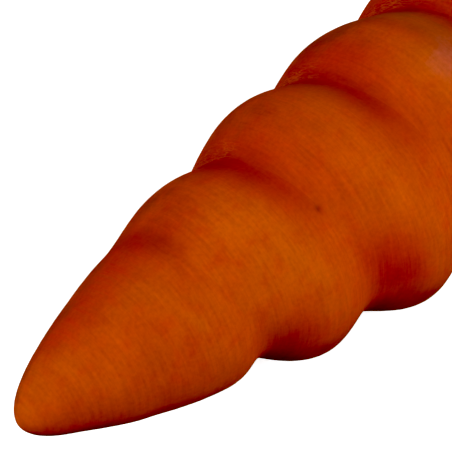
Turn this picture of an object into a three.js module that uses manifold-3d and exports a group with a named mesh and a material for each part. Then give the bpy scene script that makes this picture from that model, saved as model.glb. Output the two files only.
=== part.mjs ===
// A stout carrot root with a spiral of swollen lobes, lying on its side.
//
// Millimetres, +Z up.  The root's axis runs along +X from the tip to the crown and climbs by
// REST_TILT, so that two neighbouring lobes carry the weight.  Z = 0 is the surface it lies on.
// The root itself is worked out about its own axis first: z runs from the tip to the crown, and
// the azimuth is counted from the side that it lies on.

import * as THREE from 'three';
import Module from 'manifold-3d';
import { ParametricGeometry } from 'three/addons/geometries/ParametricGeometry.js';
import { mergeVertices } from 'three/addons/utils/BufferGeometryUtils.js';

const wasm = await Module();
wasm.setup();

const FULL_TURN = 2 * Math.PI;
const { clamp, degToRad, smoothstep } = THREE.MathUtils;

// ---- driving dimensions -------------------------------------------------------------------

// The taper: radius = MAX_RADIUS * (1 - (1 - z / LENGTH) ^ BELLY) ^ (1 / BLUNTNESS).
const LENGTH = 150;
const MAX_RADIUS = 30.5;
const BELLY = 1.619;
const BLUNTNESS = 1.86;

// The spiral groove: one start, right-handed, its pitch growing slowly towards the crown.
const PITCH = 20.48;
const PITCH_GROWTH = 0.054;
const GROOVE_PHASE = 0.14;
const GROOVE_DEPTH = 0.155;           // of the local radius
const GROOVE_STARTS = 16.2;
const GROOVE_FULL = 55.3;
const GROOVE_WIDTH = 1.05;            // exponent: 1 makes round lobes that meet in a sharp crease

// The groove starts sooner on one side of the root, and is sharper on one side.
const EARLY_AZIMUTH = degToRad(336);
const EARLIER = 9.2;                  // how much sooner it starts there than opposite
const SHARP_AZIMUTH = degToRad(29);
const CREASE_SOFTNESS = 0.075;
const EXTRA_SOFTNESS = 0.218;         // added on the side away from SHARP_AZIMUTH
const EARLY_SOFTNESS = 0.227;         // added where the groove begins

// One stretch of the groove bites deeper than the rest.
const BITE_DEPTH = 0.97;
const BITE_AT = 43.5;
const BITE_LENGTH = 5.4;
const BITE_AZIMUTH = degToRad(306);
const BITE_NARROWNESS = 3;

// Gentle swells, and hollows where the height is negative: how far along the axis, on which side,
// and by how much of the radius at their middle.
const SWELLS = [
  { at: 7.6, azimuth: degToRad(308), height: -0.125 },
  { at: 34.4, azimuth: degToRad(308), height: -0.03 },
  { at: 7.6, azimuth: degToRad(128), height: -0.055 },
  { at: 21, azimuth: degToRad(128), height: -0.055 },
  { at: 55.4, azimuth: degToRad(308), height: 0.045 },
  { at: 73.9, azimuth: degToRad(128), height: 0.035 },
  { at: 78.9, azimuth: degToRad(308), height: 0.05 },
  { at: 42, azimuth: degToRad(218), height: -0.03 },
];
const SWELL_LENGTH = 9.2;
const SWELL_NARROWNESS = 2.5;

// The crown: a rounded shoulder, then a shallow dish where the leaves were cut off.
const SHOULDER = 16;
const GROOVE_FADES = 118;
const GROOVE_GONE = 142;
const DISH_RIM_RADIUS = 11;
const DISH_FLOOR_RADIUS = 8.6;
const DISH_DEPTH = 2.2;

// How it lies: the tilt at which two lobes touch the surface together, and how much of their
// crests is pressed flat there.
const REST_TILT = degToRad(5);
const FLAT_DEPTH = 0.3;

// The trimmed leaf stalks on the crown.
const STALK_COUNT = 7;
const STALK_RING_RADIUS = 6.4;
const FIRST_STALK = 0.3;              // how far off centre the middle stalk stands, in spiral steps
const STALK_RADIUS = 1.9;
const STALK_THICKNESS = 0.8;          // of its width, measured towards the crown's centre
const STALK_LONG = 8.5;
const STALK_SHORT = 4.5;
const EVERY_OTHER_SHORTER = 0.85;
const STALK_LEAN = 0.22;
const STALK_SIDES = 14;
// Each corner of the stalk's outline, from the middle of its foot to the middle of its cut end:
// a share of STALK_RADIUS and a share of the stalk's length.
const STALK_OUTLINE = [[0, 0], [0.9, 0], [1, 0.1], [0.86, 0.5], [0.82, 0.95], [0.72, 1], [0, 1]];
const GOLDEN_ANGLE = Math.PI * (3 - Math.sqrt(5));
const GAP = 0.3;                      // between each stalk and the crown

// ---- how finely the root is divided -------------------------------------------------------

const COLUMNS = 52;
const TIP_RINGS = 9;
const TIP_END = 8;                    // rings end and the spiral rows begin
const SPIRAL_END = 138;               // spiral rows end and the shoulder's rings begin
const ROWS_IN_A_TURN = [0, 0.03, 0.08, 0.15, 0.25, 0.38, 0.52, 0.65, 0.77, 0.86, 0.93, 0.975];
const SHORTEST_EDGE = 0.2;
const SHOULDER_RINGS = 9;
const DISH_RINGS = 4;
const MERGE_DISTANCE = 1e-4;
const FLOOR_WIDTH = 4 * LENGTH;       // of the block that cuts the resting flats

const materials = {
  root: new THREE.MeshStandardMaterial({ color: '#b94404', roughness: 0.5, metalness: 0 }),
  stalk: new THREE.MeshStandardMaterial({ color: '#8b8544', roughness: 0.75, metalness: 0 }),
};

// ---- the root's surface -------------------------------------------------------------------

function taperRadius(z) {
  const fromCrown = 1 - Math.min(z / LENGTH, 1);
  return MAX_RADIUS * (1 - fromCrown ** BELLY) ** (1 / BLUNTNESS);
}

function turnsAt(z) {
  return Math.log1p(PITCH_GROWTH * z / PITCH) / PITCH_GROWTH;
}

function heightAtTurns(turns) {
  return Math.expm1(PITCH_GROWTH * turns) * PITCH / PITCH_GROWTH;
}

// 0 on the crest of a lobe and 1 at the bottom of the groove.
function grooveShape(z, azimuth, softness) {
  const turns = turnsAt(z) - azimuth / FULL_TURN - GROOVE_PHASE;
  const swell = (Math.sin(Math.PI * turns) ** 2 + softness ** 2) / (1 + softness ** 2);
  return 1 - swell ** (GROOVE_WIDTH / 2);
}

function grooveDepth(z, azimuth) {
  const start = GROOVE_STARTS - EARLIER * (0.5 + 0.5 * Math.cos(azimuth - EARLY_AZIMUTH));
  const sunk = clamp((z - start) / (GROOVE_FULL - start), 0, 1);
  const facing = Math.max(Math.cos(azimuth - BITE_AZIMUTH), 0) ** BITE_NARROWNESS;
  const bite = BITE_DEPTH * facing * Math.exp(-(((z - BITE_AT) / BITE_LENGTH) ** 2));
  const fade = 1 - smoothstep(z, GROOVE_FADES, GROOVE_GONE);
  const most = GROOVE_DEPTH * sunk * (1 + bite) * fade;
  const away = 0.5 - 0.5 * Math.cos(azimuth - SHARP_AZIMUTH);
  const softness = CREASE_SOFTNESS + EXTRA_SOFTNESS * away + EARLY_SOFTNESS * (1 - sunk);
  return most * grooveShape(z, azimuth, softness);
}

function swellAt(z, azimuth) {
  let height = 0;
  for (const swell of SWELLS) {
    const near = Math.exp(-(((z - swell.at) / SWELL_LENGTH) ** 2));
    height += swell.height * near * Math.exp(SWELL_NARROWNESS * (Math.cos(azimuth - swell.azimuth) - 1));
  }
  return height;
}

// The lobed taper, drawn in over the shoulder to the rim of the dish.
function wallRadius(z, azimuth) {
  const lobed = taperRadius(z) * (1 - grooveDepth(z, azimuth)) * (1 + swellAt(z, azimuth));
  const overShoulder = Math.max(z - (LENGTH - SHOULDER), 0) / SHOULDER;
  return DISH_RIM_RADIUS + (lobed - DISH_RIM_RADIUS) * Math.sqrt(1 - overShoulder ** 2);
}

// ---- the rows of the root's mesh, each a rule from azimuth to height and radius ------------

function ringRow(z) {
  return (azimuth) => [z, wallRadius(z, azimuth)];
}

// A row that follows the groove round the root, held between the two end rings.
function spiralRow(turn) {
  return (azimuth) => {
    const free = heightAtTurns(turn + azimuth / FULL_TURN + GROOVE_PHASE);
    let z = free;
    if (free < TIP_END + SHORTEST_EDGE) z = TIP_END;
    if (free > SPIRAL_END - SHORTEST_EDGE) z = SPIRAL_END;
    return [z, wallRadius(z, azimuth)];
  };
}

function dishRow(inward) {
  const radius = DISH_RIM_RADIUS + (DISH_FLOOR_RADIUS - DISH_RIM_RADIUS) * inward;
  return () => [LENGTH - DISH_DEPTH * smoothstep(inward, 0, 1), radius];
}

function rootRows() {
  const rows = [];
  for (let ring = 0; ring <= TIP_RINGS; ring += 1) {
    rows.push(ringRow(TIP_END * (ring / TIP_RINGS) ** 2));
  }
  const firstTurn = turnsAt(TIP_END) - 1 - GROOVE_PHASE;
  const lastTurn = turnsAt(SPIRAL_END) - GROOVE_PHASE;
  for (let whole = Math.floor(firstTurn); whole <= lastTurn; whole += 1) {
    for (const part of ROWS_IN_A_TURN) {
      const turn = whole + part;
      if (turn > firstTurn && turn < lastTurn) rows.push(spiralRow(turn));
    }
  }
  const endRise = Math.asin((SPIRAL_END - (LENGTH - SHOULDER)) / SHOULDER);
  for (let ring = 0; ring <= SHOULDER_RINGS; ring += 1) {
    const rise = endRise + (Math.PI / 2 - endRise) * ring / SHOULDER_RINGS;
    rows.push(ringRow(LENGTH - SHOULDER + SHOULDER * Math.sin(rise)));
  }
  for (let ring = 1; ring <= DISH_RINGS; ring += 1) {
    rows.push(dishRow(ring / DISH_RINGS));
  }
  rows.push(() => [LENGTH - DISH_DEPTH, 0]);
  return rows;
}

// ---- solids -------------------------------------------------------------------------------

function weld(geometry) {
  geometry.deleteAttribute('normal');
  geometry.deleteAttribute('uv');
  const welded = mergeVertices(geometry, MERGE_DISTANCE);
  const kept = [];
  const corners = welded.index.array;
  for (let i = 0; i < corners.length; i += 3) {
    const [a, b, c] = [corners[i], corners[i + 1], corners[i + 2]];
    if (a !== b && b !== c && c !== a) kept.push(a, b, c);
  }
  welded.setIndex(kept);
  return welded;
}

function toSolid(geometry) {
  const welded = weld(geometry);
  return new wasm.Manifold(new wasm.Mesh({
    numProp: 3,
    vertProperties: new Float32Array(welded.attributes.position.array),
    triVerts: new Uint32Array(welded.index.array),
  }));
}

function toGeometry(solid) {
  const mesh = solid.getMesh();
  const geometry = new THREE.BufferGeometry();
  geometry.setAttribute('position', new THREE.BufferAttribute(mesh.vertProperties, 3));
  geometry.setIndex(new THREE.BufferAttribute(mesh.triVerts, 1));
  geometry.computeVertexNormals();
  return geometry;
}

const layDown = new THREE.Matrix4().makeRotationY(Math.PI / 2 - REST_TILT);

function makeRoot() {
  const rows = rootRows();
  const steps = rows.length - 1;
  const surface = new ParametricGeometry((u, v, target) => {
    const azimuth = u * FULL_TURN;
    const [z, radius] = rows[Math.round(v * steps)](azimuth);
    target.set(radius * Math.cos(azimuth), radius * Math.sin(azimuth), z);
  }, COLUMNS, steps);
  surface.applyMatrix4(layDown);
  surface.computeBoundingBox();
  const drop = surface.boundingBox.min.z + FLAT_DEPTH;
  surface.translate(0, 0, -drop);
  const belowFloor = new THREE.BoxGeometry(FLOOR_WIDTH, FLOOR_WIDTH, FLOOR_WIDTH);
  belowFloor.translate(0, 0, -FLOOR_WIDTH / 2);
  const pressed = toSolid(surface).subtract(toSolid(belowFloor));
  const root = new THREE.Mesh(toGeometry(pressed), materials.root);
  root.name = 'carrot_root';
  return { root, drop };
}

// A short stalk with an oval section that leans away from the crown's centre.
function makeStalk(index) {
  const outward = (index + FIRST_STALK) / STALK_COUNT;
  const trim = index % 2 ? EVERY_OTHER_SHORTER : 1;
  const length = trim * THREE.MathUtils.lerp(STALK_LONG, STALK_SHORT, outward);
  const profile = STALK_OUTLINE.map(
    ([radiusShare, lengthShare]) => new THREE.Vector2(radiusShare * STALK_RADIUS, lengthShare * length),
  );
  const geometry = new THREE.LatheGeometry(profile, STALK_SIDES);
  geometry.rotateX(Math.PI / 2);
  geometry.scale(STALK_THICKNESS, 1, 1);
  const lean = new THREE.Matrix4().set(
    1, 0, STALK_LEAN * outward, 0,
    0, 1, 0, 0,
    0, 0, 1, 0,
    0, 0, 0, 1,
  );
  geometry.applyMatrix4(lean);
  const stalk = new THREE.Mesh(geometry, materials.stalk);
  const azimuth = index * GOLDEN_ANGLE;
  const reach = STALK_RING_RADIUS * Math.sqrt(outward);
  stalk.name = `leaf_stalk_${index + 1}`;
  stalk.position.set(reach * Math.cos(azimuth), reach * Math.sin(azimuth), LENGTH - DISH_DEPTH + GAP);
  stalk.rotation.z = azimuth;
  return stalk;
}

// ---- the carrot ---------------------------------------------------------------------------

const carrot = new THREE.Group();
const { root, drop } = makeRoot();
carrot.add(root);

const crown = new THREE.Group();
crown.applyMatrix4(layDown);
crown.position.z = -drop;
for (let index = 0; index < STALK_COUNT; index += 1) {
  crown.add(makeStalk(index));
}
carrot.add(crown);

// The origin is below the middle of the whole carrot, on the surface it lies on.
const middle = new THREE.Box3().setFromObject(carrot, true).getCenter(new THREE.Vector3());
carrot.position.set(-middle.x, -middle.y, 0);

export default carrot;
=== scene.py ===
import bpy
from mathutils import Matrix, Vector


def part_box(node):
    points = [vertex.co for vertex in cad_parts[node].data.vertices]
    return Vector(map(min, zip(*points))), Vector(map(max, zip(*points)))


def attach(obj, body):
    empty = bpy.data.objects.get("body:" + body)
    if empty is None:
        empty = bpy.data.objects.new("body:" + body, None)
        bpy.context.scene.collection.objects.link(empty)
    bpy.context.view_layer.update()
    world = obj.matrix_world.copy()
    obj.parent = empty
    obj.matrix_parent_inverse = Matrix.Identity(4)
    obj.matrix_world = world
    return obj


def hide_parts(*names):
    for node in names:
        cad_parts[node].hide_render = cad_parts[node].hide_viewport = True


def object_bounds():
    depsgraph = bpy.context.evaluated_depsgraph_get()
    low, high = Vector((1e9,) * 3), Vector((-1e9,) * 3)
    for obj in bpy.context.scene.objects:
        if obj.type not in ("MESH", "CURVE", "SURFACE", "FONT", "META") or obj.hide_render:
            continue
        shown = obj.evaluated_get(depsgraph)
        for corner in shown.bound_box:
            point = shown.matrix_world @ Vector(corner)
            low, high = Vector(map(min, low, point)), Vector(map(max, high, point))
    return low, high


bl_info = {
    "name": "Carrot",
    "version": (1, 0, 0),
    "blender": (4, 5, 0),
    "location": "3D View > Sidebar > Carrot",
    "description": "A stout spiral-lobed carrot lying on a pale floor, built around its packed frame",
    "category": "Add Mesh",
}

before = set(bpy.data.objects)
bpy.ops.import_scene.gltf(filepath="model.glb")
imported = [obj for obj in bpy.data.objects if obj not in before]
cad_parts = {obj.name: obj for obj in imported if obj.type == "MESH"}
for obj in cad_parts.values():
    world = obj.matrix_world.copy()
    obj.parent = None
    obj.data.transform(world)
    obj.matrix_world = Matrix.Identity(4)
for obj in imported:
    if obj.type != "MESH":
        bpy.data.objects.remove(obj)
CAD_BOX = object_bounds()

import math
from types import SimpleNamespace

import bpy
import numpy as np
from mathutils import Matrix, Vector

MM = 0.001
BODY = "root"
ROOT_NODE = "carrot_root"
STALK_NODES = sorted(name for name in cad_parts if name.startswith("leaf_stalk_"))
ROOT_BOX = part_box(ROOT_NODE)

GOLDEN_ANGLE = math.pi * (3 - math.sqrt(5))

# How finely the root is divided: rows from tip to crown, and columns round it.  The shares say
# where along the rows the side wall and the shoulder end.  The larger the crowding, the closer
# together the rows are at the tip.
ROOT_ROWS = 390
ROOT_COLUMNS = 240
WALL_SHARE = 0.84
SHOULDER_SHARE = 0.93
TIP_CROWDING = 0.05

# Gentle swells, and hollows where the height is negative: millimetres along the axis, azimuth in
# degrees, and the height at the middle as a share of the radius.
SWELLS = [
    (7.6, 308, -0.125),
    (34.4, 308, -0.03),
    (7.6, 128, -0.055),
    (21, 128, -0.055),
    (55.4, 308, 0.045),
    (73.9, 128, 0.035),
    (78.9, 308, 0.05),
    (42, 218, -0.03),
]

# How far a swell reaches along the axis, in millimetres, and how narrow it is round the root.
SWELL_LENGTH = 9.2
SWELL_NARROWNESS = 2.5


# ---- expressions on sockets --------------------------------------------------------------------


class Expr:
    """A float socket that Python's operators add Math nodes to."""

    def __init__(self, nodes, socket):
        self.nodes = nodes
        self.socket = socket

    def math(self, operation, *others):
        values = {0: self}
        for index, other in enumerate(others, start=1):
            values[index] = other
        return self.nodes.add("ShaderNodeMath", {"operation": operation}, values)

    def __add__(self, other):
        return self.math("ADD", other)

    def __sub__(self, other):
        return self.math("SUBTRACT", other)

    def __rsub__(self, other):
        return self.nodes.number(other).math("SUBTRACT", self)

    def __mul__(self, other):
        return self.math("MULTIPLY", other)

    def __truediv__(self, other):
        return self.math("DIVIDE", other)

    def __rtruediv__(self, other):
        return self.nodes.number(other).math("DIVIDE", self)

    def __pow__(self, other):
        return self.math("POWER", other)

    def __neg__(self):
        return self.math("MULTIPLY", -1.0)

    __radd__ = __add__
    __rmul__ = __mul__

    def clamp(self):
        return self.math("MAXIMUM", 0.0).math("MINIMUM", 1.0)

    def smooth(self, low, high):
        """0 below low, 1 above high, and an S-curve between them."""
        share = ((self - low) / (high - low)).clamp()
        return share * share * (3.0 - 2.0 * share)

    def sin(self):
        return self.math("SINE")

    def cos(self):
        return self.math("COSINE")

    def sqrt(self):
        return self.math("SQRT")

    def exp(self):
        return self.math("EXPONENT")

    def floor(self):
        return self.math("FLOOR")

    def ln(self):
        return self.math("LOGARITHM", math.e)


class Nodes:
    """Adds nodes to one tree."""

    def __init__(self, tree):
        self.tree = tree

    def add(self, kind, settings=None, values=None, out=0):
        """One node: its settings first, then the values or links of its sockets."""
        node = self.tree.nodes.new(kind)
        for name, value in (settings or {}).items():
            setattr(node, name, value)
        for key, value in (values or {}).items():
            target = node.inputs[key]
            if isinstance(value, Expr):
                self.tree.links.new(value.socket, target)
            else:
                target.default_value = value
        return Expr(self, node.outputs[out])

    def number(self, value):
        return self.add("ShaderNodeMath", {"operation": "ADD"}, {0: value, 1: 0.0})

    def part(self, vector, axis):
        return self.add("ShaderNodeSeparateXYZ", values={0: vector}, out=axis)

    def vector(self, x, y, z):
        return self.add("ShaderNodeCombineXYZ", values={0: x, 1: y, 2: z})

    def scaled(self, vector, factor):
        """A vector or a colour, times a number."""
        return self.add("ShaderNodeVectorMath", {"operation": "SCALE"}, {0: vector, "Scale": factor})

    def noise(self, vector, scale, detail=2.0, roughness=0.5):
        """Smooth noise between about 0 and 1."""
        values = {"Vector": vector, "Scale": scale, "Detail": detail, "Roughness": roughness}
        return self.add("ShaderNodeTexNoise", values=values, out="Fac")

    def drawn_noise(self, vector, scales, detail=2.0, roughness=0.5):
        """Noise drawn out into streaks, with a scale for each axis."""
        drawn = self.add("ShaderNodeVectorMath", {"operation": "MULTIPLY"}, {0: vector, 1: scales})
        return self.noise(drawn, 1.0, detail, roughness)

    def mix_colour(self, factor, a, b):
        settings = {"data_type": "RGBA", "blend_type": "MIX"}
        return self.add("ShaderNodeMix", settings, {0: factor, 6: a, 7: b}, out=2)

    def attribute(self, name):
        """A number stored on the mesh by its geometry nodes."""
        settings = {"attribute_type": "GEOMETRY", "attribute_name": name}
        return self.add("ShaderNodeAttribute", settings, out="Fac")


# ---- what a user would change --------------------------------------------------------------------


def length(name, description, millimetres):
    return bpy.props.FloatProperty(
        name=name, description=description, default=millimetres * MM, unit="LENGTH", subtype="DISTANCE",
        precision=4,
    )


def share(name, description, value):
    return bpy.props.FloatProperty(name=name, description=description, default=value)


def angle(name, description, degrees):
    return bpy.props.FloatProperty(
        name=name, description=description, default=math.radians(degrees), unit="ROTATION", subtype="ANGLE",
    )


def colour(name, description, value):
    return bpy.props.FloatVectorProperty(
        name=name, description=description, default=value, size=3, subtype="COLOR", min=0.0, max=1.0,
    )


class CarrotRootSettings(bpy.types.PropertyGroup):
    """The root: its taper, its spiral groove, its crown and its colours."""

    length: length("Length", "From the tip to the top of the shoulder", 150)
    max_radius: length("Largest radius", "Radius the taper grows to at the crown", 30.5)
    belly: share("Belly", "How early the root reaches its full thickness", 1.619)
    bluntness: share("Bluntness", "How round the tip is", 1.86)
    pitch: length("Pitch", "Distance between turns of the groove at the tip", 20.48)
    pitch_growth: share("Pitch growth", "How much the pitch grows with each turn", 0.054)
    groove_phase: share("Groove phase", "Turns by which the groove is shifted", 0.14)
    groove_depth: share("Groove depth", "As a share of the local radius", 0.155)
    groove_starts: length("Groove starts", "Where the groove begins on its late side", 16.2)
    groove_full: length("Groove full", "Where the groove reaches its full depth", 55.3)
    groove_width: share("Groove width", "1 makes round lobes that meet in a crease", 1.05)
    early_azimuth: angle("Early side", "Azimuth where the groove starts soonest", 336)
    earlier: length("Earlier", "How much sooner it starts there than opposite", 9.2)
    sharp_azimuth: angle("Sharp side", "Azimuth where the crease is sharpest", 29)
    softness: share("Crease softness", "Roundness of the crease on its sharp side", 0.075)
    extra_softness: share("Extra softness", "Added roundness away from the sharp side", 0.218)
    early_softness: share("Early softness", "Added roundness where the groove begins", 0.227)
    bite_depth: share("Bite depth", "Extra depth of one stretch of the groove", 0.97)
    bite_at: length("Bite at", "Where that stretch lies", 43.5)
    bite_length: length("Bite length", "How long that stretch is", 5.4)
    bite_azimuth: angle("Bite side", "Azimuth of that stretch", 306)
    bite_narrowness: share("Bite narrowness", "How narrow that stretch is round the root", 3)
    shoulder: length("Shoulder", "Length over which the crown is rounded", 16)
    groove_fades: length("Groove fades", "Where the groove begins to fade to the crown", 118)
    groove_gone: length("Groove gone", "Where the groove has gone", 142)
    dish_radius: length("Dish radius", "Rim of the dish in the crown", 11)
    dish_floor: length("Dish floor radius", "Flat floor of the dish", 8.6)
    dish_depth: length("Dish depth", "Depth of the dish in the crown", 2.2)
    rest_tilt: angle("Rest tilt", "Climb of the root's axis from tip to crown", 5)
    flat_depth: length("Flat depth", "How much of two crests is pressed flat", 0.3)
    # The side round which the painted shade in the creases and at the edges is heaviest, and where the tan
    # patches gather.
    weathered_azimuth: angle("Weathered side", "Azimuth where the skin is brownest and dirtiest", 128)
    pit_at: length("Pit at", "Where a small pit lies in the groove", 60.1)
    pit_azimuth: angle("Pit side", "Azimuth of the pit", 217)
    pit_length: length("Pit length", "Along the root", 0.45)
    pit_width: length("Pit width", "Round the root", 0.9)
    pit_depth: length("Pit depth", "How deep the pit is", 0.45)
    # A painted sheen: a pale patch near the top of the root that stands in for a soft highlight.
    bloom_at: length("Bloom at", "Where a pale dull patch lies on the skin", 98)
    bloom_azimuth: angle("Bloom side", "Azimuth of that patch", 200)
    bloom_reach: length("Bloom reach", "Half its width", 6.5)
    unevenness: length("Unevenness", "Height of the slow swells in the surface", 0.3)
    ridges: length("Ridges", "Height of the fine rings round the root", 0.05)
    flesh: colour("Flesh", "Orange of the crests", (0.56, 0.114, 0.02))
    # Painted shade: the deeper red laid into the groove, just past the creases, in the bands short of them,
    # in the far valleys and on the tip's shaded flank.
    crease: colour("Crease", "Red at the bottom of the groove", (0.51, 0.064, 0.011))
    # Painted light: a paler orange where the lobes face up and are lit most.
    glow: colour("Glow", "Paler orange where the lobes face up", (0.60, 0.142, 0.024))
    blush: colour("Blush", "Redder clouds in the flesh", (0.54, 0.088, 0.012))
    # Painted shade: the dark red-brown laid where the creases, the bands beside them, the pit and the root's
    # edges on the shaded side and opposite it fall into shade.
    painted_shade: colour("Dirt", "Dark red-brown at the bottom of the creases", (0.26, 0.052, 0.014))
    # Brown patches in the skin; gathered at the edge on the shaded side, they also darken that edge as
    # painted shade.
    tan: colour("Tan", "Dry brown patches on the skin", (0.36, 0.082, 0.022))
    wrinkle: colour("Wrinkle", "Pale edges of small folds in the skin", (0.66, 0.15, 0.11))
    # Painted sheen: the pale colour of that patch.
    bloom: colour("Bloom", "Pale dull patch", (0.50, 0.145, 0.10))
    crown: colour("Crown", "Green-brown of the crown", (0.24, 0.16, 0.045))


class LeafStalkSettings(bpy.types.PropertyGroup):
    """The trimmed leaf stalks on the crown."""

    radius: length("Radius", "Half the width of a stalk", 1.9)
    thickness: share("Thickness", "As a share of the width", 0.8)
    lean: share("Lean", "How far the outermost stalk leans", 0.22)
    ring_radius: length("Ring radius", "Reach of the outermost stalk from the middle", 6.4)
    first_stalk: share("First stalk", "How far off centre the middle stalk stands, in spiral steps", 0.3)
    longest: length("Longest", "Length of the middle stalk", 8.5)
    shortest: length("Shortest", "Length of the outermost stalk", 4.5)
    shorter: share("Every other shorter", "Share of its length that every other stalk keeps", 0.85)
    gap: length("Gap", "Between a stalk and the crown's floor", 0.3)
    ribs: bpy.props.IntProperty(name="Ribs", description="Fine ribs round a stalk", default=11)
    rib_height: share("Rib height", "As a share of the radius", 0.05)
    fresh: colour("Fresh", "Green of the stalk", (0.20, 0.22, 0.045))
    dry: colour("Dry", "Brown of its dry blotches", (0.23, 0.13, 0.05))


class StudioSettings(bpy.types.PropertyGroup):
    """Floor, light and camera."""

    azimuth: angle("Azimuth", "Where the camera stands, turned from the -Y side towards +X", -43.14)
    elevation: angle("Elevation", "How far the camera looks down", 40.96)
    distance: length("Distance", "From the camera to the tip, along its view", 251.8)
    lens: bpy.props.FloatProperty(name="Lens", description="Focal length", default=119.5, unit="CAMERA")
    tip_left: length("Tip to the left", "How far left of the view's centre the tip stands", 34.86)
    tip_below: length("Tip below", "How far below the view's centre the tip stands", 33.37)
    left_power: bpy.props.FloatProperty(name="Left light", description="Power", default=3.45, unit="POWER")
    left_turn: angle("Left turn", "From the camera's side towards the left", 66)
    right_power: bpy.props.FloatProperty(name="Right light", description="Power", default=4.25, unit="POWER")
    right_turn: angle("Right turn", "From the camera's side towards the right", 45)
    top_power: bpy.props.FloatProperty(name="Top light", description="Power", default=0.8, unit="POWER")
    top_rise: angle("Top rise", "How far it stands above the camera", 39)
    light_size: length("Light size", "Width of each light", 400)
    light_distance: length("Light distance", "From each light to the carrot", 700)
    back_power: bpy.props.FloatProperty(name="Back light", description="Power", default=2.0, unit="POWER")
    back_turn: angle("Back turn", "From the crown's end of the axis towards +Y", 25)
    back_rise: angle("Back rise", "How far the back light stands above level", 12)
    ambient: share("Ambient", "Strength of the surrounding light", 0.07)
    black_level: share("Black level", "Darkness that the picture's contrast takes to black", 0.045)
    floor_glow: share("Floor glow", "Light the pale floor adds of its own", 0.7)


# ---- the root's shape ------------------------------------------------------------------------------

ROOT_INPUTS = [
    "length", "max_radius", "belly", "bluntness", "pitch", "pitch_growth", "groove_phase", "groove_depth",
    "groove_starts", "groove_full", "groove_width", "early_azimuth", "earlier", "sharp_azimuth", "softness",
    "extra_softness", "early_softness", "bite_depth", "bite_at", "bite_length", "bite_azimuth",
    "bite_narrowness", "shoulder", "groove_fades", "groove_gone", "dish_radius", "dish_floor", "dish_depth",
    "rest_tilt", "weathered_azimuth", "bloom_at", "bloom_azimuth", "bloom_reach", "pit_at", "pit_azimuth",
    "pit_length", "pit_width", "pit_depth", "unevenness", "ridges",
]

# How far up the shoulder the crown's colour comes in, where a quarter turn up the shoulder is 1.
CROWN_COMES = (0.7, 1.15)

# Points of the tube closer than this, in millimetres, become one.
MERGE_DISTANCE = 0.004

# Scales of the noise that raises the slow swells, and of the one that raises the fine rings, the last
# of whose three runs along the root.
UNEVEN_SCALE = 45.0
RIDGE_SCALES = (60.0, 60.0, 480.0)


def new_geometry_tree(name, settings, input_names):
    """A geometry node tree with one input for each name, whole where that setting is whole."""
    tree = bpy.data.node_groups.new(name, "GeometryNodeTree")
    tree.interface.new_socket("Geometry", in_out="OUTPUT", socket_type="NodeSocketGeometry")
    sockets = {}
    for key in input_names:
        whole = isinstance(getattr(settings, key, 0.0), int)
        kind = "NodeSocketInt" if whole else "NodeSocketFloat"
        label = key.replace("_", " ").capitalize()
        sockets[key] = tree.interface.new_socket(label, in_out="INPUT", socket_type=kind)
    nodes = Nodes(tree)
    entry = tree.nodes.new("NodeGroupInput")
    inputs = {key: Expr(nodes, entry.outputs[sockets[key].name]) for key in input_names}
    return tree, nodes, inputs, {key: sockets[key].identifier for key in input_names}


def finish_geometry_tree(nodes, geometry, material):
    """Realize Instances and Set Material close the tree."""
    real = nodes.add("GeometryNodeRealizeInstances", values={"Geometry": geometry})
    painted = nodes.add("GeometryNodeSetMaterial", values={"Geometry": real, "Material": material})
    end = nodes.tree.nodes.new("NodeGroupOutput")
    nodes.tree.links.new(painted.socket, end.inputs[0])


def store(nodes, geometry, name, value):
    """Keeps a number on each point, for the material to read."""
    settings = {"data_type": "FLOAT", "domain": "POINT"}
    values = {"Geometry": geometry, "Name": name, "Value": value}
    return nodes.add("GeometryNodeStoreNamedAttribute", settings, values)


def groove_rule(size, z, azimuth):
    """The groove here: its depth as a share of the radius, its strength and its turns so far."""
    turns = (1.0 + size["pitch_growth"] * z / size["pitch"]).ln() / size["pitch_growth"]
    turns = turns - azimuth / (2 * math.pi) - size["groove_phase"]
    start = size["groove_starts"] - size["earlier"] * (0.5 + 0.5 * (azimuth - size["early_azimuth"]).cos())
    sunk = ((z - start) / (size["groove_full"] - start)).clamp()
    away = 0.5 - 0.5 * (azimuth - size["sharp_azimuth"]).cos()
    soft = size["softness"] + size["extra_softness"] * away + size["early_softness"] * (1.0 - sunk)
    wave = (math.pi * turns).sin()
    swell = (wave * wave + soft * soft) / (1.0 + soft * soft)
    shape = 1.0 - swell ** (size["groove_width"] * 0.5)

    facing = (azimuth - size["bite_azimuth"]).cos().math("MAXIMUM", 0.0) ** size["bite_narrowness"]
    off_bite = (z - size["bite_at"]) / size["bite_length"]
    bite = size["bite_depth"] * facing * (-(off_bite * off_bite)).exp()
    fade = 1.0 - z.smooth(size["groove_fades"], size["groove_gone"])
    strength = sunk * (1.0 + bite) * fade
    return size["groove_depth"] * strength * shape, strength * shape, turns


def swell_rule(z, azimuth):
    """The gentle swells and hollows, as a share of the radius."""
    total = 0.0
    for at, degrees, height in SWELLS:
        off = (z - at * MM) / (SWELL_LENGTH * MM)
        near = (-(off * off)).exp()
        turned = (azimuth - math.radians(degrees)).cos() - 1.0
        total = near * height * (SWELL_NARROWNESS * turned).exp() + total
    return total


def spot(off_along, off_azimuth, radius, reach_along, reach_round):
    """1 in the middle of a spot on the skin, fading out over its two reaches."""
    along = off_along / reach_along
    around = (off_azimuth * 0.5).sin() * 2.0 * radius / reach_round
    return (-(along * along + around * around)).exp()


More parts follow.
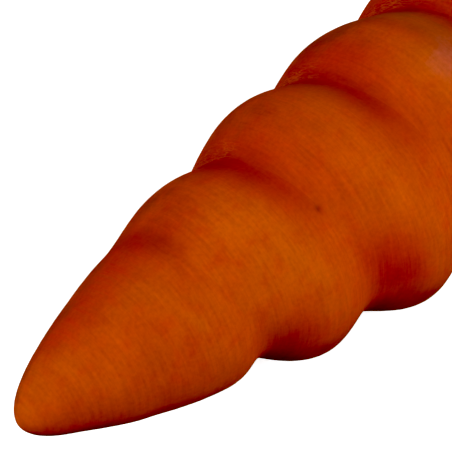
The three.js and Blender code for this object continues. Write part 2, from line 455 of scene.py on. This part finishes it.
def root_tree(settings, material):
    """The root: a tube that is drawn out, grooved, marked and roughened, then laid on its side."""
    tree, nodes, size, identifiers = new_geometry_tree("Carrot root", settings, ROOT_INPUTS)
    values = {"Vertices": ROOT_COLUMNS, "Side Segments": ROOT_ROWS, "Radius": 1.0, "Depth": 1.0}
    tube = nodes.add("GeometryNodeMeshCylinder", {"fill_type": "NONE"}, values)
    place = nodes.add("GeometryNodeInputPosition")
    round_x, round_y = nodes.part(place, 0), nodes.part(place, 1)
    azimuth = round_y.math("ARCTAN2", round_x)
    row = nodes.part(place, 2) + 0.5

    on_wall = (row / WALL_SHARE).clamp()
    climb = on_wall * on_wall * (1 + TIP_CROWDING) / (on_wall + TIP_CROWDING)
    rise = ((row - WALL_SHARE) / (SHOULDER_SHARE - WALL_SHARE)).clamp() * (math.pi / 2)
    inward = ((row - SHOULDER_SHARE) / (1 - SHOULDER_SHARE)).clamp()
    z = (size["length"] - size["shoulder"]) * climb + size["shoulder"] * rise.sin()

    depth, groove, turns = groove_rule(size, z, azimuth)
    from_crown = (1.0 - z / size["length"]).clamp()
    taper = size["max_radius"] * (1.0 - from_crown ** size["belly"]) ** (1.0 / size["bluntness"])
    lobed = taper * (1.0 - depth) * (1.0 + swell_rule(z, azimuth))
    radius = size["dish_radius"] * (1.0 - inward) + (lobed - size["dish_radius"]) * rise.cos()
    dip = inward.smooth(0.0, 1.0 - size["dish_floor"] / size["dish_radius"])
    height = z - size["dish_depth"] * dip

    # The marks are stored before the tube is drawn out, while each point's row and azimuth still show.
    bloom_azimuth = azimuth - size["bloom_azimuth"]
    pit_azimuth = azimuth - size["pit_azimuth"]
    marks = {
        "groove": groove,
        "turn_sine": (turns * 2 * math.pi).sin(),
        "turn_cosine": (turns * 2 * math.pi).cos(),
        "crown": (rise.sin() + inward).smooth(*CROWN_COMES),
        # Where the skin stands round the root, counted from the side of heaviest painted shade.
        "side": (azimuth - size["weathered_azimuth"]).cos(),
        "bloom": spot(z - size["bloom_at"], bloom_azimuth, radius, size["bloom_reach"], size["bloom_reach"]),
        "pit": spot(z - size["pit_at"], pit_azimuth, radius, size["pit_length"], size["pit_width"]),
        "reach": z / size["length"],
    }
    marked = tube
    for name, value in marks.items():
        marked = store(nodes, marked, name, value)
    drawn = {"Geometry": marked, "Position": nodes.vector(round_x * radius, round_y * radius, height)}
    shaped = nodes.add("GeometryNodeSetPosition", values=drawn)
    doubles = {"Geometry": shaped, "Distance": MERGE_DISTANCE * MM}
    merged = nodes.add("GeometryNodeMergeByDistance", values=doubles)

    here = nodes.add("GeometryNodeInputPosition")
    swells = nodes.noise(here, UNEVEN_SCALE) - 0.5
    rings = nodes.drawn_noise(here, RIDGE_SCALES, detail=3.0, roughness=0.6) - 0.5
    pit = nodes.add("GeometryNodeInputNamedAttribute", {"data_type": "FLOAT"}, {"Name": "pit"})
    push = swells * size["unevenness"] * 2.0 + rings * size["ridges"] * 2.0 - pit * size["pit_depth"]
    normal = nodes.add("GeometryNodeInputNormal")
    offset = nodes.scaled(normal, push)
    uneven = nodes.add("GeometryNodeSetPosition", values={"Geometry": merged, "Offset": offset})

    turn = nodes.vector(0.0, math.pi / 2 - size["rest_tilt"], 0.0)
    lying = nodes.add("GeometryNodeTransform", values={"Geometry": uneven, "Rotation": turn})
    smooth = nodes.add("GeometryNodeSetShadeSmooth", values={"Geometry": lying})
    finish_geometry_tree(nodes, smooth, material)
    return tree, identifiers


def evaluated_mesh(name, tree, identifiers, settings, extra=None):
    """Runs a geometry node tree on an empty mesh and returns its result as a plain object."""
    maker = bpy.data.objects.new(name + "_maker", bpy.data.meshes.new(name + "_maker"))
    bpy.context.scene.collection.objects.link(maker)
    modifier = maker.modifiers.new("Shape", "NODES")
    modifier.node_group = tree
    for key, identifier in identifiers.items():
        modifier[identifier] = (extra or {}).get(key, getattr(settings, key, None))
    depsgraph = bpy.context.evaluated_depsgraph_get()
    mesh = bpy.data.meshes.new_from_object(maker.evaluated_get(depsgraph), depsgraph=depsgraph)
    mesh.name = name
    bpy.data.objects.remove(maker)
    piece = bpy.data.objects.new(name, mesh)
    bpy.context.scene.collection.objects.link(piece)
    return piece


def vertex_array(mesh):
    """The mesh's points, one row each."""
    points = np.empty(len(mesh.vertices) * 3, np.float32)
    mesh.vertices.foreach_get("co", points)
    return points.reshape(-1, 3)


def lay_on_floor(mesh, flat_depth):
    """Moves the root to its CAD box and presses flat what would reach below the floor."""
    points = vertex_array(mesh)
    low, high = points.min(0), points.max(0)
    middle = (ROOT_BOX[0].y + ROOT_BOX[1].y) / 2
    move = np.array([ROOT_BOX[0].x - low[0], middle - (low[1] + high[1]) / 2, -flat_depth - low[2]])
    points += move.astype(np.float32)
    points[:, 2] = np.maximum(points[:, 2], 0.0)
    mesh.vertices.foreach_set("co", points.ravel())
    mesh.update()
    return Vector(move)


# ---- materials ----------------------------------------------------------------------------------------


def new_material(name):
    material = bpy.data.materials.new(name)
    material.use_nodes = True
    material.node_tree.nodes.clear()
    return material, Nodes(material.node_tree)


def surface(nodes, shader):
    end = nodes.tree.nodes.new("ShaderNodeOutputMaterial")
    nodes.tree.links.new(shader.socket, end.inputs["Surface"])


def rgba(value):
    return (*value, 1.0)


# Noise in the skin, as scale, detail and roughness.
CLOUD_NOISE = {
    "mottle": (160.0, 3.0, 0.5),
    "blush": (85.0, 3.0, 0.5),
    "clouds": (330.0, 3.0, 0.5),
    "grain": (1400.0, 2.0, 0.5),
    "patches": (130.0, 5.0, 0.65),
}

# Noise drawn out round the root, as scale along it, scale across it, detail and roughness.
RING_NOISE = {
    "rings": (1500.0, 130.0, 3.0, 0.6),
    "fine_rings": (4200.0, 260.0, 2.0, 0.5),
    "folds": (1700.0, 330.0, 2.0, 0.5),
}

# The marks that the root's tree stores.
MARKS = ["groove", "turn_sine", "turn_cosine", "crown", "side", "bloom", "pit", "reach"]

# The pairs below are the two ends of an S-curve.  A look comes in over them or, where the name ends in
# gone, goes.

# Along the root, in shares of its length from the tip.
ALONG = {
    "tip_red": (0.03, 0.1),
    "tip_red_gone": (0.19, 0.26),
    "first_lobe": (0.13, 0.2),
    "glow": (0.13, 0.25),
    "glow_gone": (0.36, 0.46),
    "first_band": (0.16, 0.21),
    "first_band_gone": (0.25, 0.32),
    "red": (0.26, 0.36),
    "red_deepens": (0.45, 0.6),
    "lobes": (0.28, 0.36),
    "lobes_gone": (0.78, 0.92),
    "band_darkens": (0.45, 0.55),
    "band_darkest": (0.58, 0.64),
    "band_widens": (0.58, 0.66),
}

# Round the root: 1 on the side where the painted shade is heaviest, 0 a quarter turn from it and -1 opposite.
ROUND = {
    "painted_shade": (-0.2, 0.9),
    "band": (-0.4, 0.8),
    "band_red": (-0.2, 0.6),
    "first_band": (0.3, 0.75),
    "tan": (0.3, 1.0),
    "past_red": (0.4, 0.85),
    "tip_red": (0.4, 0.9),
    "wrinkles": (0.8, 0.97),
    "edge_tan_and_shade": (0.84, 0.99),
    "edge": (0.93, 1.0),
}

# The same, counted from the other side.
OPPOSITE = {
    "valley": (0.25, 0.75),
    "valley_gone": (0.8, 0.95),
    "edge": (0.9, 1.0),
}

# From one crease, 0, to the next one nearer the crown, 1.
ACROSS = {
    "fold": (0.0, 0.04),
    "fold_gone": (0.1, 0.24),
    "past_gone": (0.2, 0.5),
    "open": (0.2, 0.45),
    "open_gone": (0.72, 0.9),
}
BAND_COMES = (0.6, 0.88)

# By how far the skin is from the nearest crease, and from the valley's middle.
CLOSE_GONE = (0.03, 0.18)
VALLEY_AT = 0.25
VALLEY_GONE = (0.08, 0.3)

# By how far the skin faces sideways: 1 a quarter turn from the side of heaviest painted shade, 0 on it and
# opposite.
SIDEWAYS = (0.35, 0.9)

# In noise, in how deep the groove is, and at the edge of the crown's colour.
BLUSH_COMES = (0.4, 0.75)
CLOUDS_COME = (0.45, 0.75)
EDGE_CLOUDS = (0.35, 0.65)
FOLDS_COME = (0.28, 0.5)
EDGE_TAN_COMES = (0.35, 0.6)
TAN_COMES = (0.5, 0.7)
DEEP = (0.45, 0.95)
CROWN_EDGE = (0.3, 0.9)

# How much of each coat of paint is laid on.
AMOUNT = {
    "glow": 0.45,
    "blush": 0.5,
    "clouds": 0.6,
    "groove": 0.35,
    "groove_on_shaded_side": 0.65,
    "past_red": 0.25,
    "past_red_deeper": 0.35,
    "deep_shade": 0.65,
    "band_red": 0.55,
    "band": 0.44,
    "band_darker": 0.24,
    "band_darkest": 0.3,
    "first_band": 1.1,
    "valley": 0.75,
    "valley_lost": 0.8,
    "tip_red": 0.95,
    "tip_red_lost": 0.75,
    "tip_red_coat": 1.2,
    "edge_tan_and_shade": 0.75,
    "tan": 0.12,
    "tan_on_shaded_side": 0.4,
    "far_edge_shade": 0.7,
    "near_edge_shade": 0.45,
    "edge_shade_least": 0.25,
    "wrinkles": 0.6,
    "bloom": 0.55,
    "pit": 0.7,
    "crown": 0.85,
}

# How thin a wrinkle is, and how far the band of painted shade short of a crease widens on the last lobes.
FOLD_FINENESS = 13.0
BAND_WIDENS = 0.2

# The middle that noise swings a look about, where it has one here, and how far each noise swings it.
STREAKS = 0.6
RING_STREAKS = 1.6
PATCH_STREAKS = 1.2
EDGE_TAN_SWING = 2.0
SHEEN_SWING = 1.2
CROWN_SWING = 0.6
SHADE = 0.92
MOTTLE_SHADE = 0.24
RING_SHADE = 0.36
GRAIN_SHADE = 0.28

# The skin's relief: what each part adds, and the height of the whole in millimetres.
RELIEF = {"rings": 0.5, "fine_rings": 0.3, "grain": 0.2}
WRINKLE_RELIEF = 0.8
RELIEF_HEIGHT = 0.15

# The skin's roughness, how far noise swings it, and how much rougher the crown is.
SKIN_ROUGHNESS = 0.62
ROUGHNESS_SWING = 0.2
CROWN_ROUGHER = 0.2


def swung(middle, *noises):
    """A number that noise swings about: each noise comes with how far it swings."""
    for noise, swing in noises:
        middle = middle + (noise - 0.5) * swing
    return middle


def skin_readings(nodes, tilt):
    """By name, everything that the skin's looks are worked out from: noise and stored marks."""
    where = nodes.add("ShaderNodeTexCoord", out="Object")
    values = {"Vector": where, "Rotation": (0.0, tilt, 0.0)}
    level = nodes.add("ShaderNodeMapping", {"vector_type": "POINT"}, values)
    skin = SimpleNamespace()
    for name, (scale, detail, roughness) in CLOUD_NOISE.items():
        setattr(skin, name, nodes.noise(where, scale, detail, roughness))
    for name, (along, across, detail, roughness) in RING_NOISE.items():
        setattr(skin, name, nodes.drawn_noise(level, (along, across, across), detail, roughness))
    for name in MARKS:
        setattr(skin, name, nodes.attribute(name))
    turned = skin.turn_sine.math("ARCTAN2", skin.turn_cosine) / (2 * math.pi)
    skin.across = turned - turned.floor()
    skin.along = {name: skin.reach.smooth(*ends) for name, ends in ALONG.items()}
    skin.around = {name: skin.side.smooth(*ends) for name, ends in ROUND.items()}
    skin.opposite = {name: (-skin.side).smooth(*ends) for name, ends in OPPOSITE.items()}
    skin.between = {name: skin.across.smooth(*ends) for name, ends in ACROSS.items()}
    skin.lobes = skin.along["lobes"] * (1.0 - skin.along["lobes_gone"])
    widened = skin.across + skin.along["band_widens"] * BAND_WIDENS
    skin.band = widened.smooth(*BAND_COMES)
    skin.streaks = swung(STREAKS, (skin.rings, RING_STREAKS), (skin.patches, PATCH_STREAKS))
    return skin


def wrinkle_lines(skin):
    """Short pale wrinkles where the skin folds, just past a crease."""
    folds = (skin.folds - 0.5) * FOLD_FINENESS
    lines = 1.0 - folds.math("ABSOLUTE").clamp()
    past_crease = skin.between["fold"] * (1.0 - skin.between["fold_gone"])
    return lines * past_crease * skin.around["wrinkles"] * skin.lobes * skin.patches.smooth(*FOLDS_COME)


def flesh_coats(skin):
    """Painted light, a paler orange where the lobes face up, and redder clouds."""
    # Painted light: paler where the lobes face a quarter turn from the shaded side, outside the band of
    # painted shade.
    sideways = (1.0 - skin.side * skin.side).smooth(*SIDEWAYS)
    glow = sideways * (1.0 - skin.band) * skin.along["glow"] * (1.0 - skin.along["glow_gone"])
    blush = skin.blush.smooth(*BLUSH_COMES) * AMOUNT["blush"]
    clouds = skin.clouds.smooth(*CLOUDS_COME) * AMOUNT["clouds"]
    return [(glow * AMOUNT["glow"], "glow"), ((blush + clouds).clamp(), "blush")]


def groove_coats(skin):
    """Painted shade: red and dark red-brown in the groove, past a crease, and in a band short of the next
    one.
    """
    along, around = skin.along, skin.around
    # Painted shade: red along the groove, heavier on the shaded side.
    groove = skin.groove * (AMOUNT["groove"] + around["painted_shade"] * AMOUNT["groove_on_shaded_side"])
    # Painted shade: red on the flank just past each crease, on the shaded side, deepening towards the crown.
    past = (1.0 - skin.between["past_gone"]) * around["past_red"] * along["red"] * (1.0 - along["lobes_gone"])
    past = past * (AMOUNT["past_red"] + along["red_deepens"] * AMOUNT["past_red_deeper"])
    # Painted shade: dark red-brown at the bottom of the deepest stretches of the groove.
    deep = skin.groove.smooth(*DEEP) * around["painted_shade"] * AMOUNT["deep_shade"]
    # Painted shade: a red and then a dark band on the flank just short of the next crease, darkest on the
    # last lobes.
    band_red = skin.band * around["band_red"] * skin.lobes * AMOUNT["band_red"]
    darkness = AMOUNT["band"] + along["band_darkens"] * AMOUNT["band_darker"]
    darkness = darkness + along["band_darkest"] * AMOUNT["band_darkest"]
    band = skin.band * around["band"] * skin.lobes * darkness * skin.streaks
    # Painted shade: a dark band close to the creases of the first lobe, on the shaded side.
    close = 1.0 - (0.5 - (skin.across - 0.5).math("ABSOLUTE")).smooth(*CLOSE_GONE)
    first = close * along["first_band"] * (1.0 - along["first_band_gone"]) * around["first_band"]
    first = (first * AMOUNT["first_band"] * skin.streaks).clamp()
    return [
        (groove.clamp(), "crease"),
        (past, "crease"),
        (deep, "painted_shade"),
        (band_red, "crease"),
        (band, "painted_shade"),
        (first, "painted_shade"),
    ]


def shade_sheen_and_mark_coats(skin, wrinkles):
    """Red painted shade in the far valleys and on the tip, tan patches, dark painted shade at the edges,
    wrinkles, a painted sheen, and painted shade in the pit.
    """
    along, around, opposite = skin.along, skin.around, skin.opposite
    # Painted shade: red in the valleys on the side opposite the heaviest painted shade.
    off_valley = (skin.across - VALLEY_AT).math("ABSOLUTE").smooth(*VALLEY_GONE)
    valley = (1.0 - off_valley) * skin.lobes * opposite["valley"]
    valley = valley * (1.0 - opposite["valley_gone"] * AMOUNT["valley_lost"]) * AMOUNT["valley"]
    # Painted shade: red on the tip's flank towards the shaded side.
    tip = AMOUNT["tip_red"] - along["tip_red_gone"] * AMOUNT["tip_red_lost"]
    tip = around["tip_red"] * along["tip_red"] * tip * AMOUNT["tip_red_coat"] * skin.streaks

    # Tan: brown patches all over, more on the shaded side and heaviest at its edge, where they also serve as
    # painted shade.
    lobe_open = skin.between["open"] * (1.0 - skin.between["open_gone"])
    open_skin = (lobe_open + 1.0 - along["first_lobe"]).clamp()
    edge_tan_and_shade = around["edge_tan_and_shade"] * open_skin * skin.patches.smooth(*EDGE_TAN_COMES)
    tan_share = AMOUNT["tan"] + around["tan"] * AMOUNT["tan_on_shaded_side"]
    tan = edge_tan_and_shade * swung(AMOUNT["edge_tan_and_shade"], (skin.patches, EDGE_TAN_SWING))
    tan = tan + skin.patches.smooth(*TAN_COMES) * tan_share * (1.0 - skin.band)

    # Painted shade: dark red-brown along the root's edges on the shaded side and opposite it, patchy with the
    # clouds.
    edges = opposite["edge"] * AMOUNT["far_edge_shade"] + around["edge"] * AMOUNT["near_edge_shade"]
    edges = edges * (AMOUNT["edge_shade_least"] + skin.blush.smooth(*EDGE_CLOUDS)).clamp()
    # Painted sheen: the pale patch, made patchy with noise.
    bloom = skin.bloom * swung(AMOUNT["bloom"], (skin.patches, SHEEN_SWING))
    return [
        (valley, "crease"),
        (tip.clamp(), "crease"),
        (tan.clamp(), "tan"),
        (edges, "painted_shade"),
        (wrinkles * AMOUNT["wrinkles"], "wrinkle"),
        (bloom.clamp(), "bloom"),
        # Painted shade: dark red-brown in the small pit.
        (skin.pit * AMOUNT["pit"], "painted_shade"),
    ]


def skin_material(settings):
    """Carrot skin: orange flesh, redder and darker in the groove as painted shade, with fine rings and dry
    patches.
    """
    material, nodes = new_material("carrot_skin")
    skin = skin_readings(nodes, settings.rest_tilt)
    wrinkles = wrinkle_lines(skin)
    base = rgba(settings.flesh)
    for factor, name in [*flesh_coats(skin), *groove_coats(skin), *shade_sheen_and_mark_coats(skin, wrinkles)]:
        base = nodes.mix_colour(factor, base, rgba(getattr(settings, name)))
    shade = swung(SHADE, (skin.mottle, MOTTLE_SHADE), (skin.rings, RING_SHADE), (skin.grain, GRAIN_SHADE))
    base = nodes.scaled(base, shade)
    crown = swung(skin.crown, (skin.patches, CROWN_SWING)).smooth(*CROWN_EDGE) * AMOUNT["crown"]
    base = nodes.mix_colour(crown, base, rgba(settings.crown))

    relief = wrinkles * WRINKLE_RELIEF
    for name, height in RELIEF.items():
        relief = relief + getattr(skin, name) * height
    values = {"Strength": 0.5, "Distance": RELIEF_HEIGHT * MM, "Height": relief}
    bump = nodes.add("ShaderNodeBump", values=values)
    surface(nodes, nodes.add("ShaderNodeBsdfPrincipled", {"subsurface_method": "RANDOM_WALK"}, {
        "Base Color": base,
        "Roughness": swung(SKIN_ROUGHNESS, (skin.mottle, ROUGHNESS_SWING)) + skin.crown * CROWN_ROUGHER,
        "Normal": bump,
        "Subsurface Weight": 0.3,
        "Subsurface Radius": (1.0, 0.2, 0.05),
        "Subsurface Scale": 1.5 * MM,
        "Specular IOR Level": 0.12,
        "IOR": 1.4,
    }))
    return material


# Scales of the noise in a stalk's blotches and in its fibres, the first of whose three runs along it.
BLOTCH_SCALE = 500.0
FIBRE_SCALES = (300.0, 3000.0, 3000.0)

# How far the blotches swing a stalk's dryness, its darkest shade and what a fibre adds to it, its
# roughness and what dryness adds to it, and the fibres' height in millimetres.
BLOTCH_SWING = 0.8
STALK_SHADE = 0.75
FIBRE_SHADE = 0.5
STALK_ROUGHNESS = 0.55
DRY_ROUGHER = 0.25
FIBRE_HEIGHT = 0.1


def stalk_material(settings):
    """Leaf stalk: green and ribbed, with dry brown blotches."""
    material, nodes = new_material("leaf_stalk")
    where = nodes.add("ShaderNodeTexCoord", out="Object")
    blotches = nodes.noise(where, BLOTCH_SCALE, detail=3.0)
    fibres = nodes.drawn_noise(where, FIBRE_SCALES)
    dryness = swung(0.0, (blotches, BLOTCH_SWING)).clamp()
    base = nodes.mix_colour(dryness, rgba(settings.fresh), rgba(settings.dry))
    base = nodes.scaled(base, STALK_SHADE + fibres * FIBRE_SHADE)
    values = {"Strength": 0.5, "Distance": FIBRE_HEIGHT * MM, "Height": fibres}
    bump = nodes.add("ShaderNodeBump", values=values)
    surface(nodes, nodes.add("ShaderNodeBsdfPrincipled", values={
        "Base Color": base,
        "Roughness": STALK_ROUGHNESS + dryness * DRY_ROUGHER,
        "Normal": bump,
        "Subsurface Weight": 0.1,
        "Subsurface Radius": (0.6, 0.8, 0.2),
        "Subsurface Scale": 1.0 * MM,
    }))
    return material


# ---- the stalks' shape -------------------------------------------------------------------------------

STALK_INPUTS = ["radius", "thickness", "ribs", "rib_height", "stalk_length", "stalk_lean", "seed"]

# How finely a stalk is divided: columns, rows and rings on its ends.
STALK_COLUMNS = 44
STALK_ROWS = 22
STALK_RINGS = 8

# Pairs are the ends of S-curves up the stalk.  It narrows to a waist and at its foot, and its cut end
# is hollowed by a share of its radius and left ragged by a share of its length.
WAIST = 0.18
WAIST_COMES = (0.1, 0.6)
FOOT = 0.1
FOOT_GONE = (0.0, 0.12)
HOLLOW = 0.3
HOLLOW_COMES = (0.9, 1.0)
RAGGED = 0.16
RAGGED_COMES = (0.7, 1.0)
RAGGED_SCALE = 3.0

# The channel along its inner side, and how far that side is moved back over its middle.
CHANNEL = 0.22
CHANNEL_MIDDLE = 0.25


def stalk_tree(settings, material):
    """One stalk, standing on its foot at the origin and leaning towards +X."""
    tree, nodes, size, identifiers = new_geometry_tree("Leaf stalk", settings, STALK_INPUTS)
    values = {
        "Vertices": STALK_COLUMNS, "Side Segments": STALK_ROWS, "Fill Segments": STALK_RINGS,
        "Radius": 1.0, "Depth": 1.0,
    }
    rod = nodes.add("GeometryNodeMeshCylinder", {"fill_type": "TRIANGLE_FAN"}, values)
    place = nodes.add("GeometryNodeInputPosition")
    x, y = nodes.part(place, 0), nodes.part(place, 1)
    up = nodes.part(place, 2) + 0.5
    reach = (x * x + y * y).sqrt()

    ribbed = 1.0 + (y.math("ARCTAN2", x) * size["ribs"]).cos() * size["rib_height"] * reach
    waist = 1.0 - WAIST * up.smooth(*WAIST_COMES) - FOOT * (1.0 - up.smooth(*FOOT_GONE))
    wide = size["radius"] * ribbed * waist
    hollow = up.smooth(*HOLLOW_COMES) * (1.0 - reach * reach) * HOLLOW
    ragged = nodes.noise(nodes.vector(x * RAGGED_SCALE, y * RAGGED_SCALE, size["seed"]), 1.0) - 0.5
    height = up + up.smooth(*RAGGED_COMES) * ragged * RAGGED
    height = size["stalk_length"] * height - size["radius"] * hollow
    across = x * wide * size["thickness"] - (y * y - CHANNEL_MIDDLE) * size["radius"] * CHANNEL
    across = across + size["stalk_lean"] * height

    values = {"Geometry": rod, "Position": nodes.vector(across, y * wide, height)}
    moved = nodes.add("GeometryNodeSetPosition", values=values)
    smooth = nodes.add("GeometryNodeSetShadeSmooth", values={"Geometry": moved})
    finish_geometry_tree(nodes, smooth, material)
    return tree, identifiers


# ---- the studio ---------------------------------------------------------------------------------------

WHITE = (1.0, 1.0, 1.0, 1.0)
FLOOR_PAINT = (0.9, 0.9, 0.9, 1.0)
FLOOR_ROUGHNESS = 0.9

# Half the floor's width and the nearest thing the camera sees, in metres; its sensor, in millimetres.
FLOOR_HALF = 3.0
CLIP_START = 0.01
SENSOR_WIDTH = 36.0


def heading(along_x, along_y, rise):
    """The direction whose level part is these two shares, lifted by an angle."""
    return Vector((along_x * math.cos(rise), along_y * math.cos(rise), math.sin(rise)))


def look_along(direction):
    """How a camera or a lamp is turned to look this way."""
    return direction.to_track_quat("-Z", "Y").to_euler()


def soft_light(name, power, direction, settings):
    """A round lamp that faces the carrot from this direction."""
    lamp = bpy.data.objects.new(name, bpy.data.lights.new(name, "AREA"))
    lamp.data.shape = "DISK"
    lamp.data.size = settings.light_size
    lamp.data.energy = power
    lamp.location = (CAD_BOX[0] + CAD_BOX[1]) / 2 + settings.light_distance * direction
    lamp.rotation_euler = look_along(-direction)
    bpy.context.scene.collection.objects.link(lamp)


def place_camera(settings, toward, right, up):
    """Places the camera so that the tip stands left of the middle of its view and below it."""
    scene = bpy.context.scene
    aim = Vector(scene["tip"]) + settings.tip_left * right + settings.tip_below * up
    camera = bpy.data.objects.new("camera", bpy.data.cameras.new("camera"))
    camera.data.lens = settings.lens
    camera.data.sensor_width = SENSOR_WIDTH
    camera.data.clip_start = CLIP_START
    camera.location = aim + settings.distance * toward
    camera.rotation_euler = look_along(-toward)
    scene.collection.objects.link(camera)
    scene.camera = camera


def place_lights(settings, toward, right, up):
    """Lights on both sides of the camera and above it, and a weak one behind the crown."""
    lights = [
        ("left_light", settings.left_power, -settings.left_turn, right),
        ("right_light", settings.right_power, settings.right_turn, right),
        ("top_light", settings.top_power, settings.top_rise, up),
    ]
    for name, power, turned, aside in lights:
        soft_light(name, power, math.cos(turned) * toward + math.sin(turned) * aside, settings)
    behind = heading(math.cos(settings.back_turn), math.sin(settings.back_turn), settings.back_rise)
    soft_light("back_light", settings.back_power, behind, settings)


def light_world(settings):
    """Surroundings that look white and give a little light."""
    world = bpy.data.worlds.new("studio")
    world.use_nodes = True
    world.node_tree.nodes.clear()
    nodes = Nodes(world.node_tree)
    seen = nodes.add("ShaderNodeLightPath", out="Is Camera Ray")
    strength = settings.ambient + seen * (1.0 - settings.ambient)
    air = nodes.add("ShaderNodeBackground", values={"Color": WHITE, "Strength": strength})
    end = world.node_tree.nodes.new("ShaderNodeOutputWorld")
    world.node_tree.links.new(air.socket, end.inputs["Surface"])
    bpy.context.scene.world = world


def lay_floor(settings):
    """A pale floor that lights nothing but itself."""
    material, nodes = new_material("pale_floor")
    surface(nodes, nodes.add("ShaderNodeBsdfPrincipled", values={
        "Base Color": FLOOR_PAINT,
        "Roughness": FLOOR_ROUGHNESS,
        "Specular IOR Level": 0.0,
        "Emission Color": WHITE,
        "Emission Strength": settings.floor_glow,
    }))
    corners = [(x * FLOOR_HALF, y * FLOOR_HALF, 0.0) for x, y in [(-1, -1), (1, -1), (1, 1), (-1, 1)]]
    plane = bpy.data.meshes.new("floor")
    plane.from_pydata(corners, [], [(0, 1, 2, 3)])
    plane.materials.append(material)
    floor = bpy.data.objects.new("floor", plane)
    floor.visible_diffuse = False
    floor.visible_glossy = False
    bpy.context.scene.collection.objects.link(floor)


# ---- operators ----------------------------------------------------------------------------------------


class CARROT_OT_root(bpy.types.Operator):
    """Make the carrot's root and lay it on the floor"""

    bl_idname = "carrot.root"
    bl_label = "Make root"

    def execute(self, context):
        settings = context.scene.carrot_root
        material = skin_material(settings)
        tree, identifiers = root_tree(settings, material)
        root = evaluated_mesh("root_skin", tree, identifiers, settings)
        if not root.data.vertices:
            raise RuntimeError("the root's node tree made no mesh")
        moved = lay_on_floor(root.data, settings.flat_depth)
        context.scene["tip"] = tuple(moved)
        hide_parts(ROOT_NODE)
        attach(root, BODY)
        return {"FINISHED"}


class CARROT_OT_leaf_stalks(bpy.types.Operator):
    """Make the trimmed leaf stalks on the crown"""

    bl_idname = "carrot.leaf_stalks"
    bl_label = "Make leaf stalks"

    def execute(self, context):
        settings = context.scene.leaf_stalks
        root = context.scene.carrot_root
        tree, identifiers = stalk_tree(settings, stalk_material(settings))
        lie = Matrix.Translation(context.scene["tip"]) @ Matrix.Rotation(math.pi / 2 - root.rest_tilt, 4, "Y")
        count = len(STALK_NODES)
        for index, node in enumerate(STALK_NODES):
            outward = (index + settings.first_stalk) / count
            trim = settings.shorter if index % 2 else 1.0
            extra = {
                "stalk_length": trim * (settings.longest + (settings.shortest - settings.longest) * outward),
                "stalk_lean": settings.lean * outward,
                "seed": float(index),
            }
            stalk = evaluated_mesh(node.replace("leaf_stalk", "stalk"), tree, identifiers, settings, extra)
            reach = settings.ring_radius * math.sqrt(outward)
            foot = Matrix.Translation((0.0, 0.0, root.length - root.dish_depth + settings.gap))
            turn = Matrix.Rotation(index * GOLDEN_ANGLE, 4, "Z")
            stalk.data.transform(lie @ foot @ turn @ Matrix.Translation((reach, 0.0, 0.0)))
            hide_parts(node)
            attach(stalk, BODY)
        return {"FINISHED"}


class CARROT_OT_studio(bpy.types.Operator):
    """Make the pale floor, the soft light and the camera"""

    bl_idname = "carrot.studio"
    bl_label = "Make studio"

    def execute(self, context):
        settings = context.scene.studio
        turn = settings.azimuth
        toward = heading(math.sin(turn), -math.cos(turn), settings.elevation)
        right = Vector((math.cos(turn), math.sin(turn), 0.0))
        up = toward.cross(right)
        place_camera(settings, toward, right, up)
        place_lights(settings, toward, right, up)
        light_world(settings)
        lay_floor(settings)
        view = context.scene.view_settings
        view.view_transform = "Standard"
        view.use_curve_mapping = True
        view.curve_mapping.black_level = (settings.black_level,) * 3
        view.curve_mapping.update()
        return {"FINISHED"}


class CARROT_PT_panel(bpy.types.Panel):
    """Lists the carrot's operators"""

    bl_label = "Carrot"
    bl_idname = "CARROT_PT_panel"
    bl_space_type = "VIEW_3D"
    bl_region_type = "UI"
    bl_category = "Carrot"

    def draw(self, context):
        for operator in OPERATORS:
            self.layout.operator(operator.bl_idname)


OPERATORS = [CARROT_OT_root, CARROT_OT_leaf_stalks, CARROT_OT_studio]
GROUPS = {"carrot_root": CarrotRootSettings, "leaf_stalks": LeafStalkSettings, "studio": StudioSettings}


def register():
    for cls in [*GROUPS.values(), *OPERATORS, CARROT_PT_panel]:
        bpy.utils.register_class(cls)
    for name, group in GROUPS.items():
        setattr(bpy.types.Scene, name, bpy.props.PointerProperty(type=group))


def unregister():
    for name in GROUPS:
        delattr(bpy.types.Scene, name)
    for cls in reversed([*GROUPS.values(), *OPERATORS, CARROT_PT_panel]):
        bpy.utils.unregister_class(cls)


def main():
    register()
    bpy.ops.carrot.root()
    bpy.ops.carrot.leaf_stalks()
    bpy.ops.carrot.studio()


if __name__ == "__main__":
    main()
